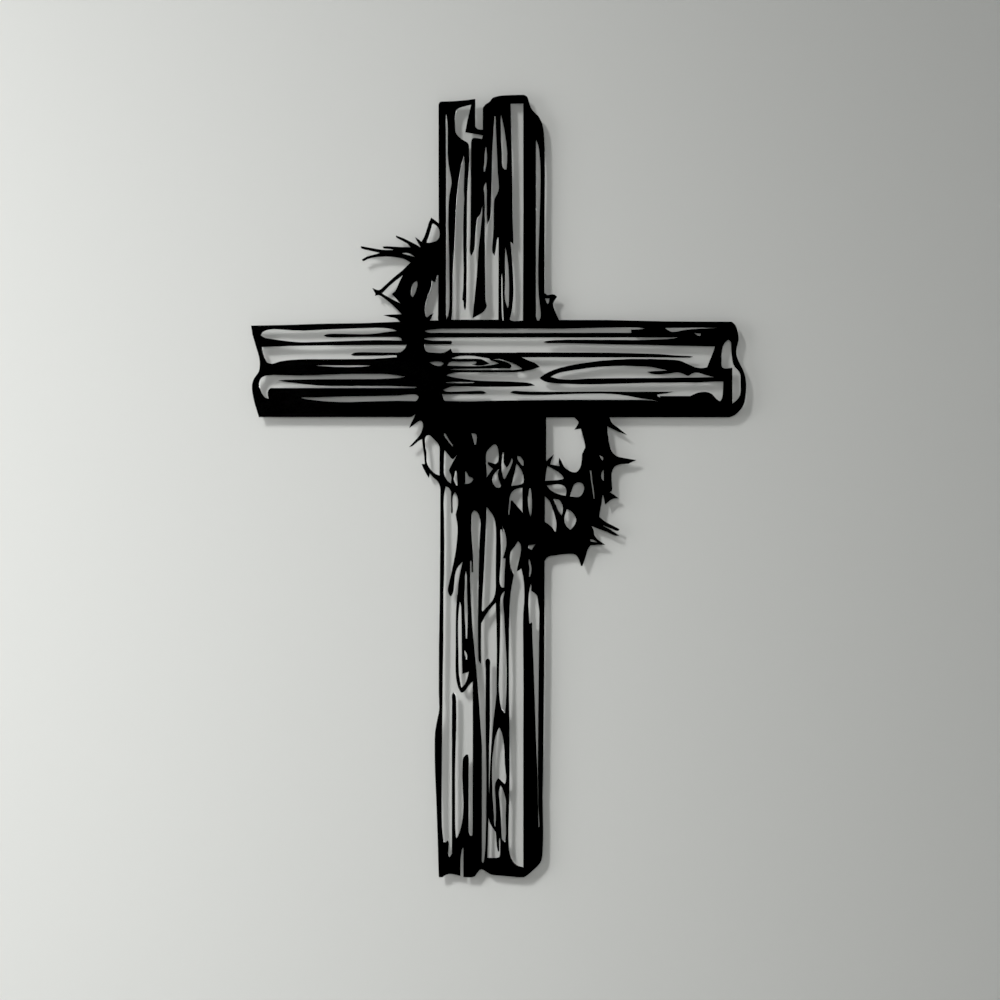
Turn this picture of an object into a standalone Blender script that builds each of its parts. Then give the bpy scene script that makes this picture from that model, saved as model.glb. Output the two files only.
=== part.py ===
"""A wall cross of laser-cut sheet steel: two rugged beams with open wood grain and a crown of thorns.

The sheet hangs on five round stand-offs, a little way off the wall.
Its front faces -Y, +X is to the right and +Z is up. The origin is the middle of the hub stand-off, on the
wall.
"""
import bmesh
import bpy
from mathutils import Vector
from mathutils.geometry import delaunay_2d_cdt

# Driving sizes, in metres.
HEIGHT = 0.6103
WIDTH = 0.3863
SHEET_THICKNESS = 0.002
COAT = 0.00015
STAND_OFF = 0.008
STANDOFF_DIAMETER = 0.010
STANDOFF_SIDES = 24
FIT_GAP = 0.0003

# The drawing is in millimetres from the hub stand-off, x to the right and z up.
# These are its outermost lines. The powder coat adds COAT outside every line, and with it the sheet has its
# HEIGHT and WIDTH.
DRAWN_TOP = 250.8
DRAWN_FOOT = -359.2
DRAWN_LEFT = -187.1
DRAWN_RIGHT = 198.9

# A drawn curve is cut into chords that leave it by this much at most, in drawing millimetres.
CURVE_TOLERANCE = 0.09

# At a thorn's tip or a slit's end, a corner moves out by this many coats at most.
LONGEST_MITRE = 2.5

# Where each stand-off sits behind solid steel, in the drawing.
STANDOFF_PLACES = {
    "standoff_hub": (0.0, 0.0),
    "standoff_top": (7.8, 243.3),
    "standoff_foot": (32.8, -340.0),
    "standoff_left": (-162.0, 10.5),
    "standoff_right": (166.0, 8.5),
}


# Drawing tools. Every tool returns one closed line as a list of (x, z) points.

def smooth_run(points):
    """Returns a curve through the points: a centripetal Catmull-Rom line, cut finely where it bends."""
    if len(points) < 3:
        return list(points)
    knots = [Vector(p) for p in points]
    first = knots[0] * 2 - knots[1]
    last = knots[-1] * 2 - knots[-2]
    knots = [first] + knots + [last]
    line = [tuple(knots[1])]
    for i in range(1, len(knots) - 2):
        p0, p1, p2, p3 = knots[i - 1:i + 3]
        t1 = (p1 - p0).length ** 0.5
        t2 = t1 + (p2 - p1).length ** 0.5
        t3 = t2 + (p3 - p2).length ** 0.5

        def at(t):
            a1 = p0 * (t1 - t) / t1 + p1 * t / t1
            a2 = p1 * (t2 - t) / (t2 - t1) + p2 * (t - t1) / (t2 - t1)
            a3 = p2 * (t3 - t) / (t3 - t2) + p3 * (t - t2) / (t3 - t2)
            b1 = a1 * (t2 - t) / t2 + a2 * t / t2
            b2 = a2 * (t3 - t) / (t3 - t1) + a3 * (t - t1) / (t3 - t1)
            return b1 * (t2 - t) / (t2 - t1) + b2 * (t - t1) / (t2 - t1)

        line += chords(at, t1, t2, p1, p2)
    return line


def chords(at, start, end, first, last, depth=0):
    """Returns the points after first, up to last: a stretch is halved until its middle lies on its chord."""
    middle = at((start + end) / 2)
    chord = last - first
    bulge = abs(chord.x * (middle.y - first.y) - chord.y * (middle.x - first.x)) / max(chord.length, 1e-6)
    if depth == 4 or bulge < CURVE_TOLERANCE:
        return [tuple(last)]
    half = (start + end) / 2
    return (chords(at, start, half, first, middle, depth + 1)
            + chords(at, half, end, middle, last, depth + 1))


def outline(start, *runs):
    """A closed line of smooth runs that meet in corners. Each run goes on from where the last one ended."""
    line = [start]
    for run in runs:
        line += smooth_run([line[-1]] + list(run))[1:]
    if (Vector(line[-1]) - Vector(start)).length < 0.01:
        line.pop()
    return line


def tall(*stations):
    """A shape that runs up and down, by its (z, left edge, right edge) from its top to its foot."""
    left = smooth_run([(a, z) for z, a, b in stations])
    right = smooth_run([(b, z) for z, a, b in stations])
    return joined(left, right)


def wide(*stations):
    """A shape that runs across, by its (x, low edge, high edge) from its left end to its right end."""
    low = smooth_run([(x, a) for x, a, b in stations])
    high = smooth_run([(x, b) for x, a, b in stations])
    return joined(low, high)


def joined(one_side, other_side):
    """Closes two sides into one line. Where they share an end, the shape is pointed there."""
    line = one_side + other_side[::-1]
    if (Vector(line[-1]) - Vector(line[0])).length < 0.01:
        line.pop()
    middle = len(one_side)
    if (Vector(line[middle]) - Vector(line[middle - 1])).length < 0.01:
        line.pop(middle)
    return line


# The drawing. Each section lists its shapes in order: steel adds metal and air cuts it away.
# Where shapes lie over each other, the last one counts.

def steel(line):
    return True, line


def air(line):
    return False, line


def beams():
    """The outlines of the upright, with its split top and worn foot, and of the crossbar, with one nick."""
    upright = outline(
        (-40.6, -359.2),
        [(-41, -347.5), (-41.5, -328.8), (-42.5, -300.7), (-43.5, -278), (-43.8, -256), (-43.5, -246),
         (-41.5, -235), (-40.3, -229), (-40.6, -215), (-40.5, -180), (-39.9, -145), (-39.5, -100), (-39.5, 0),
         (-40.3, 80), (-40.6, 140), (-40.8, 190), (-40.8, 243.5)],
        [(-40, 245), (-38.5, 245.6), (-30, 245.8), (-20, 246.6), (-12.4, 247.6)],
        [(-12.4, 226.2)],
        [(-10.5, 224.2), (-6.3, 223.5)],
        [(-6.3, 240.8)],
        [(-4.5, 243.2), (-1, 245.5), (1, 248.2), (6, 249.9), (18, 250.7), (25.5, 250.8)],
        [(28, 249.5), (30, 243.5), (32.5, 238.5), (37, 234), (39.8, 228.5), (41.2, 220), (41.9, 205),
         (42, 185), (41.6, 150), (41.6, 100), (41.4, 80), (41.4, 0), (41.7, -115), (41.4, -200), (40.8, -245),
         (40.5, -280), (40.1, -296), (40.5, -320), (40.2, -338), (39.2, -346), (37, -349.7),
         (32.6, -353.8), (28.9, -357.2),
         (25.8, -359.2)],
        [(20.1, -359.2), (10.2, -358.2), (2, -357.5), (-1.1, -356.6), (-4.8, -354.1), (-7.6, -353),
         (-9.8, -354.4), (-12.3, -358.1), (-14.8, -359.2), (-21, -359.1)],
        [(-26, -357.6), (-32.9, -356.6), (-36.4, -358), (-37.9, -359.2)])
    crossbar = outline(
        (DRAWN_LEFT, 70.8),
        [(-185.9, 63.7), (-183, 54), (-180.8, 46.5), (-180.2, 39.7), (-181.3, 34.5), (-184.7, 29.7),
         (-186.3, 24.8), (-185.9, 18), (-183.8, 8.8), (-181, -0.3)],
        [(186, -0.4)],
        [(190, 1.2), (194, 4.9), (197.2, 9.9), (198.8, 19), (DRAWN_RIGHT, 25), (198.2, 31), (196.6, 36.1),
         (193.4, 42.3), (191.3, 48.6), (191.7, 54.5), (193, 60), (192.5, 65.7), (190.4, 71.3), (187.9, 73.8)],
        [(162, 73.9), (137, 74.1), (110, 74.7), (90, 75.2), (53, 75.2)],
        [(-71, 73.8)],
        [(-80, 73.5), (-100, 72.7), (-130, 72.3), (-160, 71.3), (DRAWN_LEFT, 70.8)])
    notch = outline((-66, -0.7), [(-62.4, -0.1), (-60.3, 0.9), (-58.8, 2.4)], [(-60, -1.7)])
    return [steel(upright), steel(crossbar), air(notch)]


def crown():
    """The outlines of the crown: thorns at the upper left, its lower left turn and its right loop."""
    upper_left = outline(
        (-39.5, 149.5),
        [(-40.5, 150.3), (-43.7, 153), (-46.6, 155)],
        [(-48.4, 151.1), (-50.1, 145.5), (-51.9, 140.2), (-54.2, 136.1)],
        [(-56, 137.6), (-59, 139.8)],
        [(-57.2, 136.1), (-54.7, 131.9)],
        [(-57.8, 133.6), (-63.1, 136.4), (-68, 138.8), (-74, 141.1)],
        [(-74, 140.2), (-69.9, 137.7), (-65.2, 135), (-62.4, 132)],
        [(-71.2, 132.1), (-81.1, 132.7), (-84.3, 132.5)],
        [(-83.9, 131.5), (-79, 130.9), (-75.7, 130.2)],
        [(-77, 129.8), (-85.5, 130), (-94.8, 131.6), (-101.4, 132.8)],
        [(-101, 131.4), (-95.5, 129.9), (-86.4, 127.7)],
        [(-89.2, 126.7), (-96.7, 124.7), (-100.6, 122.4)],
        [(-99.8, 121.4), (-96.4, 123), (-90.5, 124.5), (-82.4, 125), (-73.7, 124.4), (-66.8, 122.7),
         (-62.6, 120.2)],
        [(-64.6, 118.2), (-69.3, 113.7), (-76.2, 108.1), (-83.6, 101.2), (-87.1, 98.6), (-90.2, 99.1),
         (-92.4, 100.2)],
        [(-91.1, 97.8), (-90.1, 96), (-90.4, 94.4)],
        [(-87.4, 94.9), (-84.2, 93.1), (-76.8, 87.2), (-72.1, 82.6), (-69.6, 79.7)],
        [(-78.6, 79.4), (-83.6, 79.1)],
        [(-78.6, 77.7), (-73.7, 76.6), (-70.6, 73.8)],
        [(-50, 70), (-38, 74)])
    lower_left = outline(
        (-58.8, 2.3),
        [(-60, -1), (-61.8, -4.3), (-63.7, -8.7)],
        [(-60.4, -6.3), (-57.8, -4.3), (-55.4, -3.1), (-53.6, -4), (-52.9, -6.5), (-53.3, -9.6),
         (-55.4, -14.5), (-59, -18.7), (-63.8, -23.8)],
        [(-61.3, -22.9), (-56.5, -18.8), (-53.7, -17.4)],
        [(-53.2, -22), (-52, -30.8), (-51.5, -37.2)],
        [(-54, -37.1)],
        [(-52.9, -39.9), (-50.1, -45), (-48.7, -47.5)],
        [(-47.7, -44.2)],
        [(-45, -47.4), (-42.3, -49.6), (-40.1, -53.1), (-39.2, -58)],
        [(-34, -58)],
        [(-34, 4)])
    upper_right = outline(
        (40, 97.5),
        [(41.8, 96.2), (44.2, 94.6), (47.4, 95.2), (49.8, 94.8), (51.4, 93.4)],
        [(49.3, 90.5), (48.3, 87.7), (49.3, 83.5), (51.6, 78.1), (53.4, 74.4)],
        [(40, 74)])
    right_loop = outline(
        (92.2, 1),
        [(92.5, -1), (94.2, -5), (98.8, -8.7), (105.9, -14.3)],
        [(100.1, -12), (96.7, -10.4), (90.5, -7.4)],
        [(91.2, -14.1), (92.2, -20.8), (93.8, -26.6), (97.6, -30.8), (103.4, -32.4), (113, -34)],
        [(110, -35.2), (107.1, -36.7), (100.9, -37), (96.3, -39.1), (94.2, -43.3), (94.1, -50.7),
         (94.5, -57.8)],
        [(92.2, -58.9)],
        [(95.9, -61.1), (99.2, -63.7)],
        [(95.9, -63.7), (92.2, -65.7), (89.2, -68.4)],
        [(88.2, -64.1), (87.7, -61.1)],
        [(86.9, -61.2)],
        [(86.1, -67.4), (84.9, -74), (84.3, -78.2)],
        [(88.4, -81.7), (95.1, -85.3), (100, -87.9)],
        [(99.2, -89), (93.4, -87.2), (87.4, -84.8)],
        [(87.1, -85.3)],
        [(92.9, -88.2), (99.7, -92.8)],
        [(97.2, -92.9), (90.8, -90), (84.4, -87.6), (78, -85)],
        [(80, -88.5), (80.3, -91.9), (82.6, -95.5), (88.8, -99.9)],
        [(77.6, -100.2)],
        [(75.1, -104), (73.3, -110.6), (71.2, -116.4)],
        [(70.2, -116.4)],
        [(68.9, -111.9), (66, -107.7), (60.1, -106.9), (51, -108), (43.9, -109.6), (41.4, -113.5)],
        [(39, -113.5)],
        [(39, 1)])
    return [steel(upper_left), steel(lower_left), steel(upper_right), steel(right_loop)]


def crown_gaps():
    """The see-through places between the crown's canes, from its upper left round to its right loop."""
    upper_left = [
        tall((150.9, -45.3, -45.3), (149.2, -46.2, -42.6), (146.5, -46.9, -40.6), (143, -47.9, -40),
             (139.5, -49, -40.5), (137, -49.8, -42.6), (135.4, -50, -47.8)),
        wide((-69.8, 127.4, 127.4), (-66.8, 126.4, 127.9), (-63, 125.4, 127.1), (-58.9, 124.3, 124.3)),
        outline((-68.7, 110.4),
                [(-74.9, 105.9), (-79.9, 101.6), (-85.2, 96.1)],
                [(-83, 94.6), (-76.5, 91), (-70.6, 88.2)],
                [(-73.7, 91.9), (-77.3, 95.6)],
                [(-74.9, 97.4), (-73, 100.9), (-71.2, 105.3), (-68.7, 110.4)]),
        tall((105.9, -58.3, -57.8), (104.2, -60.5, -57.2), (101, -61.8, -57.6), (97.5, -62.5, -58.6),
             (95.3, -62.5, -59.6), (93.2, -61.6, -60.8)),
        outline((-42.1, 110.5),
                [(-42.5, 107.5), (-43.3, 105.4), (-45, 105.6), (-46.2, 106.2)],
                [(-46.6, 101.9), (-49, 95), (-50.9, 89.4), (-51.7, 83.2), (-50.9, 77.9), (-49.9, 77.2)],
                [(-47.5, 79.2), (-45.2, 80.3)],
                [(-46.4, 77.4), (-47.8, 74.8)],
                [(-41.2, 74.8)],
                [(-40.9, 110.5)])]
    lower_left = [
        outline((-40, -24),
                [(-41, -21.4), (-43, -19), (-45.4, -16.6), (-47.8, -14.5), (-50, -14.6), (-51.4, -16.4),
                 (-51.7, -19.3), (-51.2, -23.7), (-50.4, -28.2), (-50.4, -34), (-49.6, -37.7), (-47, -41.6),
                 (-43.2, -45), (-40, -46.1)]),
        wide((-36.6, -14, -13.1), (-35.6, -16.6, -13.3), (-33, -20, -17.6), (-31, -22.4, -20.5),
             (-29.3, -23.6, -23.6)),
        outline((-36.3, -25.9),
                [(-34.5, -28), (-31.3, -32.1), (-29.7, -33.2)],
                [(-27.7, -31), (-26.3, -29.3)],
                [(-27.9, -32.8), (-29.9, -36.1), (-31.7, -39.6), (-32.7, -42.3), (-31.5, -44.7),
                 (-30.8, -47.6), (-31.2, -52.5)],
                [(-33.9, -50.3), (-36.1, -46.7), (-36.9, -43.4)],
                [(-36.6, -30)]),
        tall((-42.3, -28, -26.8), (-45.4, -28.5, -26.4), (-48.5, -29.2, -26.3), (-51.3, -28.5, -26.1),
             (-54, -27.1, -26.1)),
        outline((-19.7, -42.1),
                [(-18.4, -44.1), (-17.3, -46.6), (-15.1, -47.3), (-13.9, -48.7), (-15.1, -51.1),
                 (-18.2, -52.6), (-20.2, -52.5)],
                [(-20.1, -42.8)]),
        outline((-15.4, -12.9),
                [(-13, -12.9), (-11.4, -14), (-10.9, -16.5), (-11.7, -22)],
                [(-13, -22)],
                [(-14, -17.5), (-15.4, -12.9)])]
    front = [
        outline((-3.3, -47.5),
                [(-2.2, -45.9), (1.7, -40.7)],
                [(-0.7, -38.7), (-2.4, -37), (-2.4, -35.5)],
                [(0.5, -36.2), (3.5, -37), (5.5, -35.3), (6.1, -31.3), (5.6, -25.5), (4.5, -22.4), (2.8, -21.5),
                 (0, -23.2), (-2.9, -26.6), (-4, -30), (-3.9, -36)],
                [(-3.5, -42), (-3.3, -47.5)]),
        outline((6.2, -40.5),
                [(3, -43.9), (1.2, -47), (1, -51), (4, -55.4), (5.5, -55.6), (7.2, -55.4), (7.8, -53.4),
                 (6.1, -49.1), (5.4, -45.2), (6.2, -40.5)]),
        outline((8.8, -27.8),
                [(8.6, -32), (8, -38.2), (8.7, -44.2), (9.8, -48.7)],
                [(10.8, -48.7)],
                [(13.1, -44.7), (15.1, -40.2), (16.9, -35.8), (17.1, -33.6), (16.3, -32.3), (15.1, -35.3),
                 (13.5, -38.2), (12.1, -39.6)],
                [(10.4, -36.8), (9.9, -33), (10.2, -27.8)]),
        outline((20.2, -30.8),
                [(22.5, -30.8), (25.2, -34), (25.6, -38.2)],
                [(24.6, -38.6), (22.5, -36.2), (20.6, -33.3), (20.2, -30.8)]),
        outline((19.8, -36.4),
                [(21.8, -38.7), (24.5, -43.2), (25.7, -48.5), (25, -52), (22.3, -53.3), (15.8, -54.2)],
                [(17.1, -48.6), (18.6, -42.2), (19.8, -36.4)]),
        outline((24.6, -55.4),
                [(20.3, -56), (16.6, -58.2), (14.6, -62), (14.1, -67.4), (13.3, -76.9)],
                [(14.4, -76.9)],
                [(15.1, -70.8), (15.5, -66)],
                [(16.2, -65.4), (20.3, -70.1), (25.1, -75.4)],
                [(24.6, -73)]),
        tall((-55.8, 29.9, 31), (-60, 29.1, 31.7), (-65, 28.6, 32), (-70, 28.9, 32), (-75, 29.8, 31.8),
             (-78, 30.8, 30.8))]
    right_loop = [
        outline((43, -0.5),
                [(65.1, -0.5)],
                [(67.6, -2.9), (68.4, -4.6), (66.8, -8), (65.3, -10)],
                [(70.1, -9.2)],
                [(71.8, -15), (73.4, -21.6), (73.5, -24.5), (71.2, -29.3), (70.9, -34.1), (69.7, -39.9),
                 (66.8, -43.4), (63, -43.3), (57.3, -39.7), (55, -35.2), (53.3, -32.4)],
                [(52.9, -35.6), (53.9, -38.9)],
                [(46, -37.4)],
                [(46.9, -34.2), (49, -29.6)],
                [(45.1, -32.9), (43, -35.2)]),
        outline((43.9, -38.2),
                [(50.1, -41.6), (55.1, -45.3), (56.8, -48.3), (55, -49.2), (42, -50.3)],
                [(43, -43), (43.9, -38.2)]),
        outline((43.2, -53.6),
                [(50.1, -52.7), (54.5, -52.8), (58, -55), (59, -58.2), (58.3, -62)],
                [(54.4, -61.2), (49, -59.1), (45.6, -56.8), (43.2, -53.6)]),
        outline((61.3, -62.4),
                [(62.6, -58.2), (64.6, -53), (67.6, -51.2), (71, -51.9), (72.8, -55.3), (71.4, -60.3),
                 (68.5, -62.8), (61.3, -62.4)]),
        tall((-42, 77, 78.4), (-50, 78, 79.2), (-57, 79, 80.2), (-64.3, 80.1, 81)),
        outline((84.3, -29.9), [(86.6, -30.9), (87.8, -32.2), (87, -34.3), (85.3, -32), (84.3, -29.9)]),
        outline((88.1, -40.8), [(86.6, -42.7), (85.7, -45.9), (86.4, -48.9), (88.1, -50.7)]),
        outline((77.5, -95.4), [(80, -96), (83.4, -98.3)], [(79.3, -97.9), (77.3, -97.2), (77.5, -95.4)]),
        outline((48.5, -64), [(53.1, -64.9), (55.8, -68.6), (56, -74.9), (55.1, -77.5)],
                [(52.2, -73), (50.1, -68.2), (48.5, -64)]),
        outline((59.2, -71.9),
                [(63.5, -74.5), (66.6, -80), (65.5, -84.4), (62, -88.6)],
                [(58.5, -85.3), (57, -80.5), (57.9, -75.5), (59.2, -71.9)]),
        outline((42, -62),
                [(45.6, -65.7), (48.5, -72.8), (50.8, -80.7), (51.2, -86), (50.6, -89.8)],
                [(49.7, -89.8)],
                [(46.8, -85.7), (42, -82.3)]),
        outline((41.9, 92.4), [(45.8, 92.4)], [(44.9, 88.2), (43.9, 87.8), (43, 89.6), (41.9, 92.4)])]
    return [air(line) for line in upper_left + lower_left + front + right_loop]


def upper_grain():
    """The openings and grain lines of the upright above the crossbar."""
    left_edge_slit = tall(
        (236.5, -35.1, -35.1), (230, -35.3, -33.8), (205, -35.2, -33.7), (197, -35.1, -33),
        (190, -35.1, -31.7), (182, -35.1, -30.6), (172, -35.1, -32.4), (150, -35.1, -33.2),
        (125, -35.1, -32.5), (95, -35.1, -32.2), (84, -35.1, -32.5), (79, -35.1, -33.3), (75.4, -34.9, -34.9))
    hook = outline(
        (-15.3, 243.6),
        [(-20, 242.4), (-26, 240.2), (-27.9, 236), (-28.1, 226), (-27.6, 221.3), (-23.1, 216.3),
         (-18.4, 213.6), (-17.2, 211)],
        [(-15.5, 211)],
        [(-15.2, 215), (-13.8, 217.1), (-7.1, 216.4)],
        [(-6.1, 219.5)],
        [(-13, 220.8), (-19.9, 222)],
        [(-18.5, 230), (-15.3, 243.6)])
    left_room = tall(
        (203.1, -21.2, -21.2), (198, -22.8, -20.4), (186, -25.1, -20.8), (177, -26.2, -21.1),
        (170, -26.9, -20.8), (160, -27.6, -21.3), (147, -28.1, -21.6), (133, -28.6, -21.6),
        (114, -29.8, -21.2), (100, -30, -21.5), (92, -30.1, -22.2), (86, -30.1, -22.2))
    strip_and_curl = outline(
        (-6.6, 164.8),
        [(-7.4, 161.4), (-8.3, 158), (-10.4, 155.4), (-11.7, 149), (-12.3, 141.7), (-13.1, 130.5),
         (-15.2, 125.7)],
        [(-16.3, 128), (-15.8, 140), (-15.7, 150)],
        [(-15.4, 214)],
        [(-17.4, 214)],
        [(-17, 200), (-18, 185), (-18.7, 175), (-18.9, 150), (-19, 115), (-19.3, 88)],
        [(-13, 88)],
        [(-11, 110), (-9.7, 129.5), (-7.9, 146), (-6.6, 158.5), (-6.6, 164.8)])
    floor = outline(
        (-30.1, 88),
        [(-30.4, 81), (-30.9, 75.4)],
        [(5.9, 75.4)],
        [(5.9, 88)],
        [(-3.8, 88)],
        [(-3.3, 86.3), (-5.6, 82.3), (-9.7, 79.4), (-14.2, 77.1)],
        [(-12.9, 91)],
        [(-19.2, 91)],
        [(-19.6, 85.5), (-20.3, 83)],
        [(-21.1, 85.5), (-22, 91), (-30.1, 88)])
    right_slots = outline(
        (-3.7, 183.1),
        [(-5, 181), (-5.8, 177.5), (-5.2, 173.8), (-4.9, 165), (-4.8, 130), (-4.5, 98), (-4.2, 90),
         (-3.3, 86.3)],
        [(0, 84)],
        [(5.9, 84)],
        [(6.1, 139.8)],
        [(5, 139.8)],
        [(4.4, 136), (3.6, 130), (2.7, 125.7)],
        [(1.3, 128), (1, 132), (1.6, 138.8), (2.2, 147.6), (2.3, 162), (3, 170), (5.2, 174.2), (6.2, 177.8),
         (5.5, 190), (4.9, 203.8), (4.1, 221), (3.7, 234.3)],
        [(2.7, 234.3)],
        [(1.9, 224.8), (0.9, 207), (0.5, 186.3), (-0.1, 165), (-0.8, 155), (-2.8, 150.2)],
        [(-3.2, 158), (-3.1, 176.7), (-3.7, 183.1)])
    leaf = tall(
        (236.1, 7.7, 7.7), (230, 7.5, 9.4), (223, 7.6, 10.7), (214, 7.7, 12), (205, 8.4, 12.8),
        (198, 8.5, 12.6), (194.5, 9, 12.4), (192.6, 10.4, 12.1))
    window = outline(
        (15.2, 244.3),
        [(15.7, 218), (16.3, 195), (16.7, 160), (17.3, 134.8)],
        [(15, 136.8)],
        [(15.8, 130), (16.8, 115), (17.5, 99), (16.5, 85), (14.5, 75.6)],
        [(16, 74.6), (21, 74.4), (25, 74.8)],
        [(25.4, 160), (25.3, 244.3)])
    right_edge_slit = tall(
        (216.5, 35.1, 35.1), (212, 35, 36.9), (205, 35, 38), (195, 35, 38.7), (185, 35, 38.8), (172, 35, 38.6),
        (157, 35, 38.1), (140, 35, 37.6), (125, 35, 37.1), (103, 35, 37), (94, 35, 37.5), (84, 35, 38.6),
        (78, 35, 38.9), (74.8, 35.9, 37.6))
    seed = tall((211.2, -3.9, -3.9), (205, -4.9, -3), (198, -5.2, -3.2), (194, -5.8, -4), (191, -5.7, -4.6))
    thin_leaf = tall(
        (132.5, 11.2, 11.2), (125, 10.9, 12.7), (115, 10.9, 13.8), (101, 10.9, 14.2), (91, 11, 14.1),
        (87, 12, 13.9), (84.6, 12.9, 13.3))
    thin_slit = tall((112.3, 8.5, 8.5), (108, 8, 9), (97, 8, 9.2), (85, 8.1, 9.5), (74.6, 8.8, 10))
    return [air(line) for line in (
        left_edge_slit, hook, left_room, strip_and_curl, floor, right_slots, leaf, window, right_edge_slit,
        seed, thin_leaf, thin_slit)]


def crossbar_left_grain():
    """The openings and grain lines of the crossbar left of the crossing."""
    top_room = outline(
        (-179.7, 63.4),
        [(-178.8, 65.4), (-176, 67.3), (-170, 68.3), (-155, 67.4), (-145, 67.2), (-125, 68.2), (-105, 69),
         (-89.7, 69.4), (-79, 68.8), (-73.4, 67)],
        [(-76, 64)],
        [(-72, 62.1), (-70, 61.1), (-69.4, 59.1)],
        [(-90, 59.5), (-110, 58.9), (-130, 58.2), (-145, 57.8), (-155, 58.2), (-172, 60.5), (-177, 61.5),
         (-179.7, 63.4)])
    top_line = wide((-130.3, 63.1, 63.1), (-128, 62.2, 64.1), (-100, 62.2, 64.1), (-90, 62.2, 64.6),
                    (-81, 62.2, 65.9), (-74, 62.2, 66.6), (-68, 62.1, 68))
    middle_room = outline(
        (-178.9, 54.4),
        [(-165, 54.9), (-145, 55.5), (-110, 55.8), (-65.7, 56.1)],
        [(-67.3, 52.8), (-70.5, 50.2), (-73, 49.8)],
        [(-73.6, 46.3)],
        [(-80, 45.7), (-93, 44.8), (-115, 44.6), (-143, 44.6), (-155, 44.1), (-164, 43), (-171, 41),
         (-174.7, 42)],
        [(-176.9, 46), (-178.9, 54.4)])
    middle_line = wide((-109, 48.2, 48.2), (-107, 47.6, 49.5), (-100, 47.6, 50.1), (-84, 47.7, 49.8),
                       (-73, 47.9, 49.8), (-66, 46, 49.9))
    thin_slit = wide((-137, 39.8, 39.8), (-129, 39.1, 40.1), (-122, 38.6, 40.1), (-101, 38.6, 40.1),
                     (-96.5, 39.3, 40.1), (-93.1, 39.8, 39.8))
    lower_room = outline(
        (-175.9, 32.1),
        [(-170, 32.6), (-158, 32.4), (-149, 32.2), (-135, 32.5), (-117, 33.3), (-94, 33.5), (-80, 33.2),
         (-66.5, 31.2)],
        [(-72, 30)],
        [(-58.7, 23.2)],
        [(-57.3, 22.7)],
        [(-60, 22.1)],
        [(-171.8, 22.1)],
        [(-173.6, 20.4), (-174.1, 17), (-173.3, 13.9)],
        [(-176, 14.6), (-179, 18.4), (-181, 25.4), (-179.4, 30.2), (-175.9, 32.1)])
    lower_line = outline(
        (-165.9, 28.2),
        [(-160, 28.5), (-135, 28.9), (-110, 29), (-90, 29.1), (-78, 29.6), (-70, 30.3), (-66.5, 31.2)],
        [(-56, 32)],
        [(-56, 23.4)],
        [(-62, 23.5), (-76, 24), (-126, 24), (-135, 24.4), (-149, 25.8), (-160, 27.1), (-165.9, 28.2)])
    lower_lip = outline((-64, 23.6), [(-58.7, 23.2), (-57.3, 22.7)], [(-60, 22.1)], [(-70, 22.1)],
                        [(-70, 23.8)])
    bottom_slit = wide(
        (-148.7, 14.8, 14.8), (-147, 14, 15.2), (-137.5, 12.6, 15.2), (-126, 11.5, 15.5), (-110, 11.2, 15.9),
        (-90, 11.8, 16.1), (-73, 12.2, 16.5), (-62, 12, 17.5), (-58.2, 12.2, 17.2), (-56.2, 15.3, 15.3))
    return [air(top_room), steel(top_line), air(middle_room), steel(middle_line), air(thin_slit),
            air(lower_room), steel(lower_line), air(lower_lip), air(bottom_slit)]


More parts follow.
